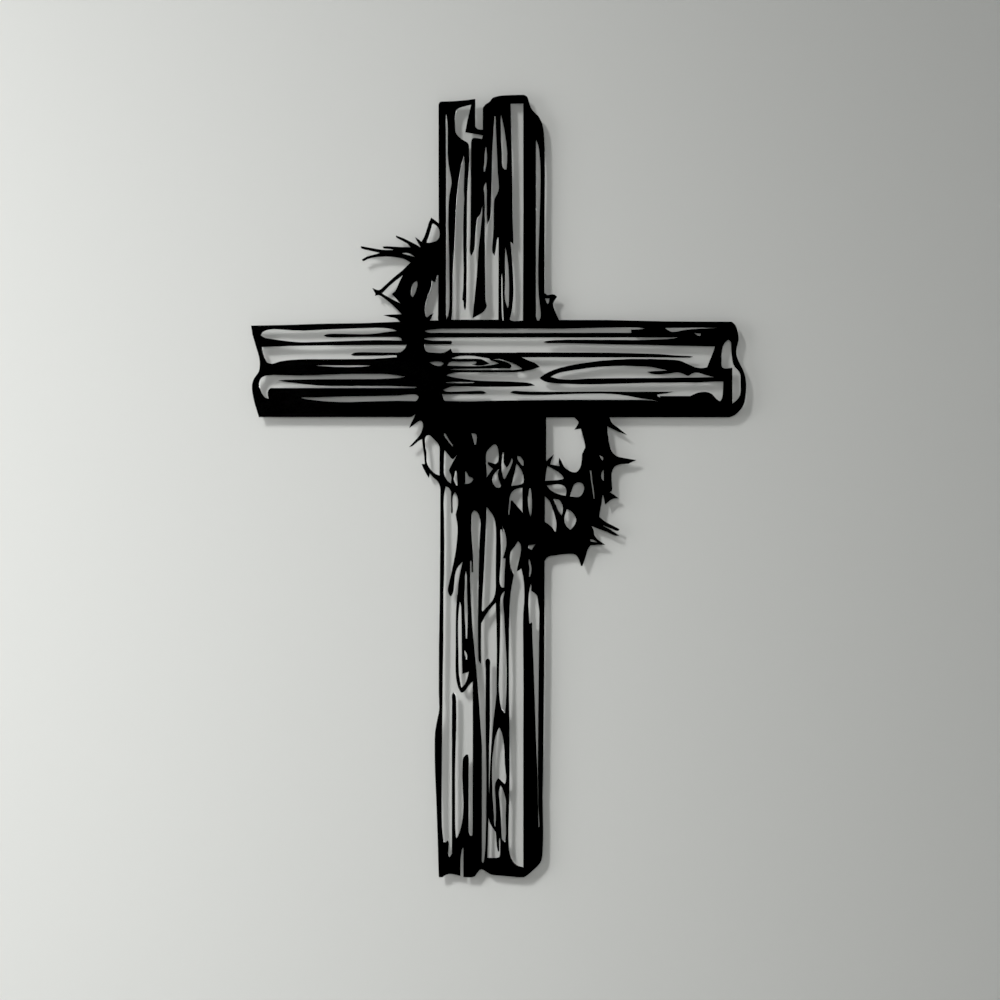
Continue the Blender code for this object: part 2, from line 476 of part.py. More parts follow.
def crossbar_right_grain():
    """The openings of the crossbar over and right of the crossing: long fields, a knot and an almond."""
    top_slot = outline(
        (-52.2, 66.4),
        [(-50, 67.6), (-46.8, 68.1), (-42, 68.5), (-30, 68.7)],
        [(57, 68.8)],
        [(89, 69.5), (109, 69.7), (115, 69.6), (120.6, 68.8)],
        [(115, 67.8), (109.4, 67.7)],
        [(109.6, 65.2)],
        [(0, 65.1)],
        [(-43, 65.2), (-49, 65.4), (-52.2, 66.4)])
    field = outline(
        (-52.2, 61.2),
        [(-49, 61.8), (-45, 61.9)],
        [(174.9, 61.9)],
        [(174.9, 54.7)],
        [(173.6, 50.6), (170, 41.7), (169, 39)],
        [(181.4, 27.6)],
        [(181.1, 19.9), (180.4, 14.3), (178.7, 11.9), (176, 13.5), (172.2, 17.5), (167.2, 19.1), (161, 18.4),
         (155.4, 15.8)],
        [(132, 15.9)],
        [(131.3, 11.6)],
        [(125, 12.5), (109, 12.9), (57, 12.9), (31, 12.6), (0, 12.2), (-18, 11.7), (-36.2, 12.1)],
        [(-37.6, 15), (-37.6, 20.8)],
        [(-36.5, 22), (-35.1, 32.1)],
        [(-32.8, 33.4), (-28, 34.5), (-15, 34.7)],
        [(13.6, 34.7)],
        [(19.8, 34.8), (25, 35.4), (31, 36.5), (37.8, 38.8)],
        [(34, 41.8), (28, 44), (23.7, 46.2)],
        [(24, 49.7)],
        [(-30, 49.7)],
        [(-30.7, 51), (-31.3, 52.9)],
        [(-34, 51), (-37, 49.7), (-43, 49.6), (-50.5, 50.7), (-52, 54), (-52, 57.5)],
        [(-51.5, 59)],
        [(-52.2, 61.2)])
    top_left_line = outline((-54, 60.5), [(-50, 59.8), (-46, 59.1), (-42, 59)], [(-31, 58.9)], [(-30.4, 58)],
                            [(-31, 56.6)], [(-54, 56.6)])
    top_right_line = wide(
        (41.2, 58.1, 58.1), (43.5, 57.5, 58.8), (50, 57.4, 59.4), (60, 57.4, 59.8), (91, 56.6, 59.7),
        (115, 56.1, 59.5), (131, 55.7, 60.1), (142, 55.5, 60.7), (147, 55.4, 62.2), (177, 54.8, 63.5))
    long_line = wide(
        (20, 46.4, 49.9), (24, 46.4, 49.9), (91, 46.4, 49.7), (109, 46.4, 49.3), (131, 46.3, 48.6),
        (143.5, 46.2, 47.6), (155, 46.1, 47), (157.4, 46.7, 46.7))
    almond = outline(
        (37.9, 30.1),
        [(42, 33), (49, 36.3), (60, 39.4), (71.5, 41.5), (85, 43.3), (97, 44.2), (110, 44.8), (126, 44.7),
         (138, 44.3), (147.3, 43.4), (154, 40.5), (159, 38.4), (163.5, 37.7), (167.8, 38.1), (171, 39.6)],
        [(184, 38)],
        [(184, 27.6)],
        [(174.7, 27.5), (165, 26.9), (150, 26.8), (125, 26.5), (100, 25.8), (80, 25.3), (62, 25.5),
         (48, 26.3), (41.5, 27.7), (37.9, 30.1)])
    almond_heart = outline(
        (46.3, 30.9),
        [(49, 32.6), (54, 34.5), (64, 36.3), (75, 38), (88, 39.2), (103, 39.8), (116, 39.4), (126, 38.7),
         (138, 36.1)],
        [(135.4, 35.6), (128, 35.4), (122, 34.9)],
        [(125, 33.6), (131, 33.1), (138.5, 33.7), (146, 34.7), (150, 33.6), (154.1, 32), (157, 33.9),
         (161, 34.4), (167, 32.7), (174.8, 30.7)],
        [(165, 30.4), (137, 30), (97, 29.8), (76, 29.5), (63, 28.6), (52, 29.3), (46.3, 30.9)])
    lens_line = outline(
        (-35.1, 32.1),
        [(-31, 30.8), (-24.2, 29.6), (-13.9, 28.2), (0, 27.5), (13.6, 27.2), (25, 26.6), (31, 25.8),
         (34, 24.3)],
        [(28, 23.8), (13.6, 23.4), (-9, 23.4), (-24, 23.8), (-31, 23.6), (-37.6, 20.8)],
        [(-40, 22)],
        [(-40, 32)])
    hairline = wide((-36, 26.5, 26.5), (-34, 26.1, 27), (-14.5, 26.2, 26.9), (-12.2, 26.6, 26.6))
    short_line = outline(
        (-39.5, 20.8), [(-37.6, 20.8)], [(-35, 19.5), (-26, 19.3), (-12, 19.9), (-6, 19.7), (-3.9, 18.5)],
        [(-6, 17.8), (-10, 17.7)], [(-39.5, 17.7)])
    bottom_line = outline(
        (15.3, 18.8),
        [(17, 19.8), (22, 19.7), (31, 19.2), (60, 19.2), (86, 19.4), (110, 19.2), (134, 19.2), (142.2, 19.4)],
        [(137, 18.3), (129.4, 17.2)],
        [(129.8, 15.8)],
        [(136, 13)],
        [(131.3, 11.6)],
        [(126, 13.2), (118, 14.1), (108, 16.1), (100, 17.3), (86, 18.2), (66, 17.8), (42, 17), (25, 17.2),
         (19, 17.8), (15.3, 18.8)])
    knot_eye = outline(
        (-34.2, 39.6),
        [(-22, 39.2), (-9.3, 39.2), (0, 40), (6.6, 41.4)],
        [(3.8, 42.8), (0, 43.8), (-1.2, 45.2), (-7, 46.4), (-13, 47.4), (-20, 47.7), (-27, 47), (-31, 45.4)],
        [(-28, 44.9), (-20, 45), (-12, 45), (-8.2, 44.8), (-5.9, 44), (-1.6, 41.4)],
        [(-5, 40.3), (-10, 40), (-14.8, 40.7)],
        [(-11.6, 41.5), (-11.2, 42.8), (-15, 43.1), (-24, 42.9), (-32, 42.7), (-34.2, 39.6)])
    knot_rim = outline(
        (1, 44.7),
        [(6.1, 44.1), (12.4, 42.2), (15.6, 40), (15.2, 38), (10.7, 37.9), (-15, 37.5), (-28, 37.3),
         (-33.2, 36.5)],
        [(-5, 36.2)],
        [(17, 36.2), (21.5, 36.5), (24.7, 37.3)],
        [(19.6, 40.6), (12.3, 43.5), (6.2, 45), (1, 44.7)])
    knot_seed = outline((-48.5, 42.5), [(-44, 43.2), (-39, 42.9), (-36.7, 41.5), (-39.6, 39.4), (-44.5, 40.1),
                                        (-48.5, 42.5)])
    end_slit = outline(
        (135.4, 69.2),
        [(148, 69.4), (160, 69.6), (179.1, 69.1)],
        [(170, 68.8), (156, 68), (150, 67.2), (145, 66), (140, 66.2), (135.4, 69.2)])
    end_seed = outline((158.1, 65.4), [(164.1, 65)], [(163.5, 63), (161, 63.2), (158.1, 65.4)])
    end_room = outline(
        (185, 60.1),
        [(187, 58.8), (187.6, 52.5), (188.8, 42.5), (190.4, 38.8), (194.3, 34.2), (194.9, 26), (194.3, 16.5),
         (191.8, 12.7), (188.1, 9.9)],
        [(188.1, 38)],
        [(182.2, 37.4), (180.1, 38.6), (179.7, 45), (180.3, 53), (182.2, 57.6), (185, 60.1)])
    return [air(top_slot), air(field), steel(top_left_line), steel(top_right_line), steel(long_line),
            steel(almond), air(almond_heart), steel(lens_line), air(hairline), steel(short_line),
            steel(bottom_line),
            air(knot_eye), air(knot_rim), air(knot_seed), air(end_slit), air(end_seed), air(end_room)]


def lower_grain_left():
    """The long opening of the upright's left plank below the crown, and the grain lines that stand in it."""
    plank = outline(
        (-35.4, -54.3),
        [(-36.4, -59), (-37.1, -68), (-36.7, -80), (-36.5, -100), (-36.6, -122), (-37.2, -136), (-37.3, -175),
         (-37.7, -200), (-38.2, -245), (-38.5, -280), (-38.6, -313), (-37.9, -326), (-36.7, -331.9),
         (-35.5, -332.5), (-33.8, -330.8), (-33, -333.5), (-33.6, -341), (-32.4, -343.7), (-30.4, -341)],
        [(-30.4, -318)],
        [(-28.1, -318)],
        [(-27.8, -325), (-27, -329), (-25.7, -327.3), (-23.5, -321.3), (-22, -313.2), (-21.5, -306)],
        [(-17.7, -306)],
        [(-17.6, -323.8)],
        [(-16.2, -326.9), (-14.8, -327.1), (-14.2, -324)],
        [(-14.1, -244), (-14.2, -206.3)],
        [(-17, -198.8)],
        [(-22.2, -200.5)],
        [(-22.6, -190), (-22.7, -172), (-23, -152), (-23.5, -146), (-24.5, -144)],
        [(-26, -140)],
        [(-25.4, -130.7), (-24.1, -122.5), (-22.1, -113.1)],
        [(-27.4, -105.5)],
        [(-26.3, -95.7), (-25.9, -86), (-27, -79), (-27.4, -76.4), (-26.7, -73.5), (-25.6, -69), (-26.2, -62),
         (-28.2, -58.8)],
        [(-29.5, -61), (-30.1, -65), (-30, -74.5)],
        [(-30.5, -75.6)],
        [(-31, -74.5)],
        [(-31.1, -58.5)],
        [(-32.8, -55.5), (-35.4, -54.3)])
    hanging_tongue = outline(
        (-20, -106),
        [(-27.4, -105.5)],
        [(-28.4, -110.7), (-30.5, -121), (-32.5, -129.5), (-33.5, -136.3), (-31.5, -140.1), (-29.6, -136.8),
         (-28.9, -131), (-28.3, -124.5), (-26.6, -118.4), (-22.1, -113.1)])
    hooked_line = outline(
        (-21.5, -141),
        [(-26.3, -139)],
        [(-27.2, -152), (-27.4, -180), (-27.5, -199), (-26.4, -208), (-24.4, -213.6), (-22.9, -215.2),
         (-20.1, -213.6), (-17.3, -209.6), (-14.2, -206.3)],
        [(-11, -203)],
        [(-17, -198.8)],
        [(-18.2, -203.7), (-20.4, -209), (-23.2, -211.8)],
        [(-25.1, -201), (-25.5, -186), (-25.8, -170), (-25.6, -155), (-24.5, -144)])
    left_line = tall((-215.4, -29.5, -29.2), (-217, -30.3, -27.9), (-222, -30.3, -27.3), (-245, -30.4, -27.3),
                     (-262, -30.4, -27.9), (-282, -30.4, -28.2), (-346, -30.4, -28))
    right_line = tall((-263.8, -19.4, -18), (-266.5, -21.6, -17.6), (-271, -22.1, -17.5), (-280, -22.3, -17.6),
                      (-292, -21.8, -17.6), (-302, -21.4, -17.6), (-318, -21.6, -17.6))
    slender = tall(
        (-120.3, -19.8, -19.5), (-124, -20.3, -18.7), (-133, -20.5, -18.6), (-143, -21, -18.4),
        (-153, -20.7, -18), (-164, -20.1, -18.2), (-173.4, -19.7, -18.6))
    sliver = tall((-182.1, -20.8, -20.6), (-184.5, -20.7, -19), (-187.5, -19.9, -18.4), (-189.8, -19.5, -18.7))
    foot_slot = outline(
        (-24.1, -362),
        [(-24, -346), (-23.4, -340.5), (-22.4, -336.6), (-21.6, -336), (-21.4, -340)],
        [(-21.4, -362)])
    return [air(plank), steel(hanging_tongue), steel(hooked_line), steel(left_line), steel(right_line),
            air(slender), air(sliver), air(foot_slot)]


def lower_grain_middle():
    """The openings of the upright's middle plank below the crown."""
    left_strip = outline(
        (-13.2, -72.9),
        [(-14.8, -75.1), (-15.3, -80), (-15.5, -88), (-15, -97), (-14.1, -107), (-14, -113)],
        [(-14, -121.3)],
        [(-15.1, -121.3)],
        [(-15.2, -112.6), (-15.7, -111.9), (-16.3, -112.8)],
        [(-16.3, -128), (-15.6, -146), (-14.8, -162), (-13.4, -177), (-12.2, -190), (-10.8, -205),
         (-9.4, -224), (-8.2, -243), (-7.2, -257), (-7.2, -270)],
        [(-7.3, -341)],
        [(-7.1, -347.6), (-6.2, -348.4), (-4.8, -342.5), (-4.1, -331), (-3.7, -315), (-3.5, -292),
         (-3.5, -277), (-4, -250), (-4.1, -230)],
        [(-4, -195)],
        [(-7.9, -192.6)],
        [(-9.3, -190.8), (-9.9, -182), (-10.1, -162), (-9.8, -137), (-9.3, -115), (-8.9, -100), (-8.2, -88),
         (-7.9, -83.5), (-9.2, -77), (-11, -74), (-13.2, -72.9)])
    lower_field = outline(
        (3.8, -144.9),
        [(0.8, -148.1), (-4, -154.4), (-7.8, -161.3)],
        [(-7.9, -175), (-7.9, -192.6)],
        [(-5, -197)],
        [(-2, -197)],
        [(-1, -240), (-1.6, -258), (-1.75, -280), (-1.55, -297.5)],
        [(-1.1, -286), (-0.6, -273), (0.2, -259), (1.1, -247), (2.2, -235.5), (3.5, -225.5), (4.4, -216),
         (4.5, -200), (4.7, -182), (4.4, -162), (3.8, -144.9)])
    standing_line = outline(
        (-4, -196),
        [(-4, -190), (-2.5, -189), (-1, -190), (-0.95, -196)],
        [(-0.95, -238)],
        [(-1.4, -248), (-1.7, -262), (-1.75, -280), (-1.55, -297.5)],
        [(-2, -300)],
        [(-3.5, -296)],
        [(-3.5, -277), (-4, -250), (-4.1, -230)])
    upper_field = outline(
        (-3.6, -70.1),
        [(-3.7, -75), (-4, -86), (-4.5, -97), (-5.2, -110), (-5.7, -121), (-6.5, -134), (-7.3, -151)],
        [(-6.6, -152.3)],
        [(-2.3, -147.8), (1, -144), (3.2, -138.8), (3.9, -132), (3.8, -120), (4.1, -98), (3.9, -86),
         (2.7, -79.5), (0.4, -75), (-3.6, -70.1)])
    big_leaf = outline(
        (6.4, -242.1),
        [(5.2, -244.4), (3.2, -250), (2.1, -257), (1, -266), (0.7, -280), (1, -294), (2.1, -311),
         (2.4, -318.6), (3.3, -320.6)],
        [(3.9, -315), (3.8, -300), (3.2, -291.5), (3.5, -286), (5.5, -282.2)],
        [(7.5, -283.8), (10.8, -287.1)],
        [(11.6, -285.5), (11.9, -280), (10.9, -271), (10.6, -261), (9.9, -252.8), (8.4, -246),
         (6.4, -242.1)])
    foot_leaf = outline(
        (7.4, -287.4),
        [(6.3, -290.8), (6, -295), (6.8, -303), (7.6, -314), (7.9, -324), (9, -330.6), (11.2, -332.2)],
        [(11.8, -325), (11.6, -311), (11.8, -300), (10.5, -294), (8.9, -289.8), (7.4, -287.4)])
    foot_field = outline(
        (-2, -312.8),
        [(-2.4, -322), (-2.7, -335), (-3.1, -344.4)],
        [(4.5, -344.5)],
        [(6.6, -343.7), (7.2, -340)],
        [(7.2, -330), (6.7, -328.1)],
        [(6.3, -330), (6.3, -339.1)],
        [(5.5, -339.1)],
        [(4.7, -335), (4.2, -328.8), (3.8, -324)],
        [(1.4, -320.7), (-0.4, -317.6), (-2, -312.8)])
    feather = outline(
        (8.2, -84.7),
        [(10.5, -88.6), (12, -95.1), (12, -100.5), (10.9, -105.7), (9.5, -110.2)],
        [(11.4, -110.8)],
        [(11.1, -116), (10.7, -122), (10.4, -133.4)],
        [(8.6, -133.5), (7, -131.3), (6.5, -126.3), (7.1, -119), (7.7, -110), (7.5, -99), (7.1, -90),
         (7.4, -87.8), (8.4, -88)],
        [(9.4, -90)],
        [(9.1, -87), (8.2, -84.7)])
    narrow_field = outline(
        (10.8, -135.9),
        [(8.6, -138), (7.2, -142.5), (7, -152), (7.1, -160), (6.8, -178), (6.2, -197), (6, -209), (6.6, -220),
         (8, -227.5), (11, -231.9)],
        [(11.7, -224), (12.2, -212), (12.4, -197), (11.9, -184), (11, -169), (10.3, -154), (9.6, -143),
         (10.8, -135.9)])
    return [air(left_strip), air(lower_field), steel(standing_line), air(upper_field), air(big_leaf),
            air(foot_leaf), air(foot_field), air(feather), air(narrow_field)]


def lower_grain_right():
    """The openings of the upright's right plank below the crown."""
    tall_field = outline(
        (21.1, -96.9),
        [(18.3, -101.3), (15.2, -105.8), (14.6, -110), (15.2, -117.5), (17.8, -123.5)],
        [(16.8, -128), (15.3, -137), (14.4, -149), (14, -165), (13.8, -190)],
        [(13.9, -215), (14.3, -250), (14.4, -275), (14, -303), (13.4, -322), (13.6, -334), (14.7, -342),
         (17.3, -347.3), (21, -350.6), (25.3, -351.7)],
        [(25.3, -250)],
        [(25.5, -210), (25.2, -180), (25.1, -165), (25.3, -154), (26.1, -144), (26.1, -134), (25.3, -125),
         (23.7, -118.3)],
        [(22.2, -119.5), (20.1, -120.6)],
        [(21.2, -115.2), (22.6, -109.5), (23.5, -104), (23, -99.5), (21.1, -96.9)])
    wedge = outline((29.2, -100.2), [(34.9, -99.5)], [(33, -102), (31.7, -104.3)],
                    [(29.5, -102.9), (28.9, -101.5), (29.2, -100.2)])
    drip = tall((-111.2, 29.5, 30.1), (-114, 29.3, 30.9), (-118.5, 30, 31.7), (-122, 29.7, 31.4),
                (-125.2, 29.5, 30.4))
    right_field = outline(
        (30.9, -130.4),
        [(31.7, -131.9), (31.4, -135.6)],
        [(34.3, -137.7), (36.1, -139.8), (36.9, -145), (37.9, -153), (37.7, -165), (37.5, -185), (37.2, -215),
         (36.9, -240), (36.7, -275), (36.95, -304)],
        [(37.5, -311), (37.9, -320.2)],
        [(36.9, -320.2)],
        [(36.7, -312), (36.4, -300), (36.2, -284), (35.4, -261), (34.6, -242), (33.7, -211), (32.8, -187),
         (32.1, -171), (31.9, -160.7)],
        [(30.6, -161.4), (29.8, -161.7)],
        [(29.6, -157), (29, -147), (29.3, -139), (30.1, -134.4), (30.9, -130.4)])
    return [air(tall_field), air(wedge), air(drip), air(right_field)]


def drawing():
    """Every shape of the sheet, in the order in which it is laid down."""
    return (beams() + crown() + upper_grain() + crossbar_left_grain() + crossbar_right_grain()
            + lower_grain_left() + lower_grain_middle() + lower_grain_right() + crown_gaps())


# The sheet, from the drawing.

def is_inside(point, line):
    """True if the point lies inside the closed line: a ray to the right crosses it an odd number of times."""
    px, pz = point
    inside = False
    x0, z0 = line[-1]
    for x1, z1 in line:
        if (z0 > pz) != (z1 > pz) and px < x0 + (pz - z0) * (x1 - x0) / (z1 - z0):
            inside = not inside
        x0, z0 = x1, z1
    return inside


def boxed(shapes):
    """Adds each shape's own box, so that most of them can be passed over quickly."""
    result = []
    for is_metal, line in shapes:
        xs = [p[0] for p in line]
        zs = [p[1] for p in line]
        result.append((is_metal, line, min(xs), max(xs), min(zs), max(zs)))
    return result


def is_metal_at(point, shapes):
    """The last shape over a point says whether it is metal."""
    px, pz = point
    for is_metal, line, x0, x1, z0, z1 in reversed(shapes):
        if x0 <= px <= x1 and z0 <= pz <= z1 and is_inside(point, line):
            return is_metal
    return False


def triangulated(lines):
    """Returns the points and triangles of a Delaunay net that keeps every edge of the closed lines."""
    points = []
    edges = []
    for line in lines:
        start = len(points)
        points += [Vector(p) for p in line]
        edges += [(start + i, start + (i + 1) % len(line)) for i in range(len(line))]
    net = delaunay_2d_cdt(points, edges, [], 0, 1e-4)
    return net[0], net[2]


def metal_triangles(points, triangles, shapes):
    """Keeps the triangles whose middle is metal."""
    kept = []
    for triangle in triangles:
        middle = sum((points[i] for i in triangle), Vector((0.0, 0.0))) / 3
        if is_metal_at(middle, shapes):
            kept.append(triangle)
    return kept


def cut_edges(triangles):
    """Returns the closed loops of point indices round the metal, from the edges of only one triangle."""
    onward = {}
    edges = {(t[i], t[(i + 1) % 3]) for t in triangles for i in range(3)}
    for a, b in edges:
        if (b, a) not in edges:
            onward.setdefault(a, []).append(b)
    loops = []
    while onward:
        start = min(onward)
        loop = [start]
        while True:
            step = onward[loop[-1]].pop()
            if not onward[loop[-1]]:
                del onward[loop[-1]]
            if step == start:
                break
            loop.append(step)
        loops.append(loop)
    return loops


def without_spare_points(line, tolerance):
    """Drops the points that lie on the straight line between their neighbours."""
    kept = list(line)
    i = 0
    while i < len(kept) and len(kept) > 3:
        a, b, c = kept[i - 1], kept[i], kept[(i + 1) % len(kept)]
        chord = c - a
        off = abs(chord.x * (b.y - a.y) - chord.y * (b.x - a.x)) / max(chord.length, 1e-6)
        if off < tolerance:
            kept.pop(i)
        else:
            i += 1
    return kept


def grown(line, coat):
    """Moves each corner of a closed line out of the metal, so that both of its edges move out by the coat.

    The metal lies left of each edge. The step is the sum of the two edges' outward normals, over one plus
    their dot product.
    """
    moved = []
    for i, corner in enumerate(line):
        before = (corner - line[i - 1]).normalized()
        after = (line[(i + 1) % len(line)] - corner).normalized()
        normals = Vector((before.y + after.y, -before.x - after.x))
        step = normals / max(1 + before.dot(after), 0.001)
        if step.length > LONGEST_MITRE:
            step *= LONGEST_MITRE / step.length
        moved.append(corner + step * coat)
    return moved


def turns_round(point, lines):
    """How often the closed lines turn anticlockwise round a point: a ray to the right counts their edges."""
    px, pz = point
    turns = 0
    for line in lines:
        x0, z0 = line[-1]
        for x1, z1 in line:
            if (z0 > pz) != (z1 > pz) and px < x0 + (pz - z0) * (x1 - x0) / (z1 - z0):
                turns += 1 if z1 > z0 else -1
            x0, z0 = x1, z1
    return turns


def filled(lines):
    """Returns the points and triangles of the metal inside the lines. A slit that has closed up is metal."""
    lines = [[tuple(p) for p in line] for line in lines]
    points, triangles = triangulated(lines)
    kept = []
    for triangle in triangles:
        middle = sum((points[i] for i in triangle), Vector((0.0, 0.0))) / 3
        if turns_round(middle, lines) > 0:
            kept.append(triangle)
    return points, kept


def on_sheet(x, z):
    """Turns a place of the drawing into metres."""
    wide = (WIDTH - 2 * COAT) / (DRAWN_RIGHT - DRAWN_LEFT)
    high = (HEIGHT - 2 * COAT) / (DRAWN_TOP - DRAWN_FOOT)
    return x * wide, z * high


def sheet_lines():
    """Returns the closed lines of the coated sheet, in millimetres."""
    shapes = boxed(drawing())
    points, triangles = triangulated([shape[1] for shape in shapes])
    bare = []
    for loop in cut_edges(metal_triangles(points, triangles, shapes)):
        line = without_spare_points([points[i] for i in loop], 0.012)
        bare.append([Vector(on_sheet(*p)) * 1000 for p in line])
    points, triangles = filled([grown(line, COAT * 1000) for line in bare])
    coated = [[points[i] for i in loop] for loop in cut_edges(triangles)]
    return [without_spare_points(line, 0.012) for line in coated]


def make_sheet(material):
    """Fills the coated outline with a flat net and pushes it through the sheet's thickness."""
    points, triangles = filled(sheet_lines())
    net = bmesh.new()
    corners = [net.verts.new((x / 1000, -STAND_OFF, z / 1000)) for x, z in points]
    for a, b, c in triangles:
        net.faces.new((corners[a], corners[c], corners[b]))
    pushed = bmesh.ops.extrude_face_region(net, geom=net.faces[:])
    moved = [g for g in pushed["geom"] if isinstance(g, bmesh.types.BMVert)]
    bmesh.ops.translate(net, verts=moved, vec=(0.0, -SHEET_THICKNESS, 0.0))
    bmesh.ops.delete(net, geom=[v for v in net.verts if not v.link_faces], context="VERTS")
    bmesh.ops.recalc_face_normals(net, faces=net.faces[:])
    mesh = bpy.data.meshes.new("cross_sheet")
    net.to_mesh(mesh)
    net.free()
    mesh.materials.append(material)
    sheet = bpy.data.objects.new("cross_sheet", mesh)
    bpy.context.scene.collection.objects.link(sheet)
    return sheet


# The stand-offs.

def make_standoffs(material):
    """One short round post behind each place, from the wall to the sheet's back."""
    length = STAND_OFF - FIT_GAP
    post = bmesh.new()
    bmesh.ops.create_cone(post, cap_ends=True, segments=STANDOFF_SIDES, radius1=STANDOFF_DIAMETER / 2,
                          radius2=STANDOFF_DIAMETER / 2, depth=length)
    mesh = bpy.data.meshes.new("standoff")
    post.to_mesh(mesh)
    post.free()
    mesh.materials.append(material)
    mesh.shade_smooth()
    mesh.set_sharp_from_angle(angle=0.7)
    for name, place in STANDOFF_PLACES.items():
        standoff = bpy.data.objects.new(name, mesh)
        x, z = on_sheet(*place)
        standoff.location = (x, -length / 2, z)
        standoff.rotation_euler = (1.5707963267948966, 0.0, 0.0)
        bpy.context.scene.collection.objects.link(standoff)


def powder_coat():
    """Matte black powder coat on steel."""
    material = bpy.data.materials.new("black_powder_coat")
    material.use_nodes = True
    shader = material.node_tree.nodes["Principled BSDF"]
    shader.inputs["Base Color"].default_value = (0.012, 0.012, 0.012, 1.0)
    shader.inputs["Roughness"].default_value = 0.55
    shader.inputs["Metallic"].default_value = 0.0
    material.diffuse_color = (0.012, 0.012, 0.012, 1.0)
    return material


for old in list(bpy.data.objects):
    bpy.data.objects.remove(old, do_unlink=True)
coat = powder_coat()
make_sheet(coat)
make_standoffs(coat)
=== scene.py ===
"""The looks of a wall cross of laser-cut sheet steel in matte black powder coat, hanging on a pale wall."""
import math

import bpy
import numpy as np
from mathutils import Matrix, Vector


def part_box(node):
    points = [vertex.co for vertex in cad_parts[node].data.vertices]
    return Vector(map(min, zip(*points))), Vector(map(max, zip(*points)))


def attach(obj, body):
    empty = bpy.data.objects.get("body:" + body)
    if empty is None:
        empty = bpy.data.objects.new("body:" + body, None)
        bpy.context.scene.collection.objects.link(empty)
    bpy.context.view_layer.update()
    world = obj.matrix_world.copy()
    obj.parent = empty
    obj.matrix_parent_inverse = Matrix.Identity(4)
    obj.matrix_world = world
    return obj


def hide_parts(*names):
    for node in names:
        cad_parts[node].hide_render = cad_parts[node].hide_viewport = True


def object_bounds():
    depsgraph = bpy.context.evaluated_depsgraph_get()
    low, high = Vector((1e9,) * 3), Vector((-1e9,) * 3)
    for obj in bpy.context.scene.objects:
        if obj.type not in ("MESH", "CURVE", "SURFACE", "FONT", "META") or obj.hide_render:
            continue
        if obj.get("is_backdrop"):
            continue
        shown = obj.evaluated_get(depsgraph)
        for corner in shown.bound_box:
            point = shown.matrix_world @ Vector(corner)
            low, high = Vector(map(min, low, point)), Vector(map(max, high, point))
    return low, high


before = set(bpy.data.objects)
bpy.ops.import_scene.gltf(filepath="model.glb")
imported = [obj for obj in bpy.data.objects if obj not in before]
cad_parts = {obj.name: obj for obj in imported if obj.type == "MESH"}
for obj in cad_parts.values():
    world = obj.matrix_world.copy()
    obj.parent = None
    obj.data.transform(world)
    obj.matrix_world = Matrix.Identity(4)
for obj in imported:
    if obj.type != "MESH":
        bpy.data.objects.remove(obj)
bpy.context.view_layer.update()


# The cross itself: one flat sheet of 2 mm steel, laser-cut into two rugged beams and a crown of thorns.
# The powder coat flows round every cut edge, so no edge is quite sharp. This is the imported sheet's own
# outline, with a rounded profile carried round every cut.

EDGE_RADIUS = 0.00032
SMALLEST_RADIUS = 0.00001
ROUNDING_STEPS = 3
LONGEST_MITRE = 2.2
HAIRPIN = 0.001
SOFT_CORNER = math.radians(38)
CREASE = math.radians(30)
FLATNESS = 0.00001
MERGED_DECIMALS = 7
TINY = 1e-9

# The rounding shrinks step by step where it would leave less than its share of a triangle or of a cut edge.
KEPT_SHARE = 0.35
SHRINK = 0.8
SHRINKS = 16


def merged_net(mesh):
    """The mesh's corners, each written once, and its triangles as rows of three corner numbers."""
    corners = np.empty(len(mesh.vertices) * 3, np.float32)
    mesh.vertices.foreach_get("co", corners)
    corners = corners.reshape(-1, 3).astype(float)
    mesh.calc_loop_triangles()
    triangles = np.empty(len(mesh.loop_triangles) * 3, np.int32)
    mesh.loop_triangles.foreach_get("vertices", triangles)
    rounded = np.round(corners, MERGED_DECIMALS)
    _, first, number = np.unique(rounded, axis=0, return_index=True, return_inverse=True)
    return corners[first], number.reshape(-1)[triangles].reshape(-1, 3)


def front_net(corners, triangles):
    """The front face alone: its corners as (x, z), its triangles, and the cut edges.

    A cut edge is one that only one of the front's triangles has.
    """
    on_front = corners[:, 1] < corners[:, 1].min() + FLATNESS
    faces = triangles[on_front[triangles].all(axis=1)]
    used, faces = np.unique(faces, return_inverse=True)
    faces = faces.reshape(-1, 3)
    edges = np.concatenate([faces[:, [0, 1]], faces[:, [1, 2]], faces[:, [2, 0]]]).astype(np.int64)
    there = edges[:, 0] * len(used) + edges[:, 1]
    back = edges[:, 1] * len(used) + edges[:, 0]
    return corners[used][:, [0, 2]], faces, edges[~np.isin(back, there)]


def cut_normals(points, edges):
    """The unit normal of each cut edge, out of the metal.

    The front's triangles turn anticlockwise in (x, z), so the metal lies left of each edge and air on its
    right.
    """
    along = points[edges[:, 1]] - points[edges[:, 0]]
    across = np.stack([along[:, 1], -along[:, 0]], axis=1)
    return across / np.linalg.norm(across, axis=1, keepdims=True)


def mitred_steps(points, edges, outward):
    """At each corner, the normals of the edges before and after it, and the step into the metal.

    The step is minus the sum of the two normals over one plus their dot product, which moves both edges in
    by one. At a thorn's tip that grows without end, so its length is limited.
    """
    before = np.empty_like(points)
    after = np.empty_like(points)
    before[edges[:, 1]] = outward
    after[edges[:, 0]] = outward
    step = -(before + after) / np.maximum(1 + (before * after).sum(axis=1, keepdims=True), HAIRPIN)
    length = np.linalg.norm(step, axis=1, keepdims=True)
    return before, after, step * np.minimum(1, LONGEST_MITRE / np.maximum(length, TINY))


def doubled_areas(points, faces):
    """Twice the signed area of each flat triangle, by the cross product of two of its sides."""
    a, b, c = (points[faces[:, i]] for i in range(3))
    return (b[:, 0] - a[:, 0]) * (c[:, 1] - a[:, 1]) - (b[:, 1] - a[:, 1]) * (c[:, 0] - a[:, 0])


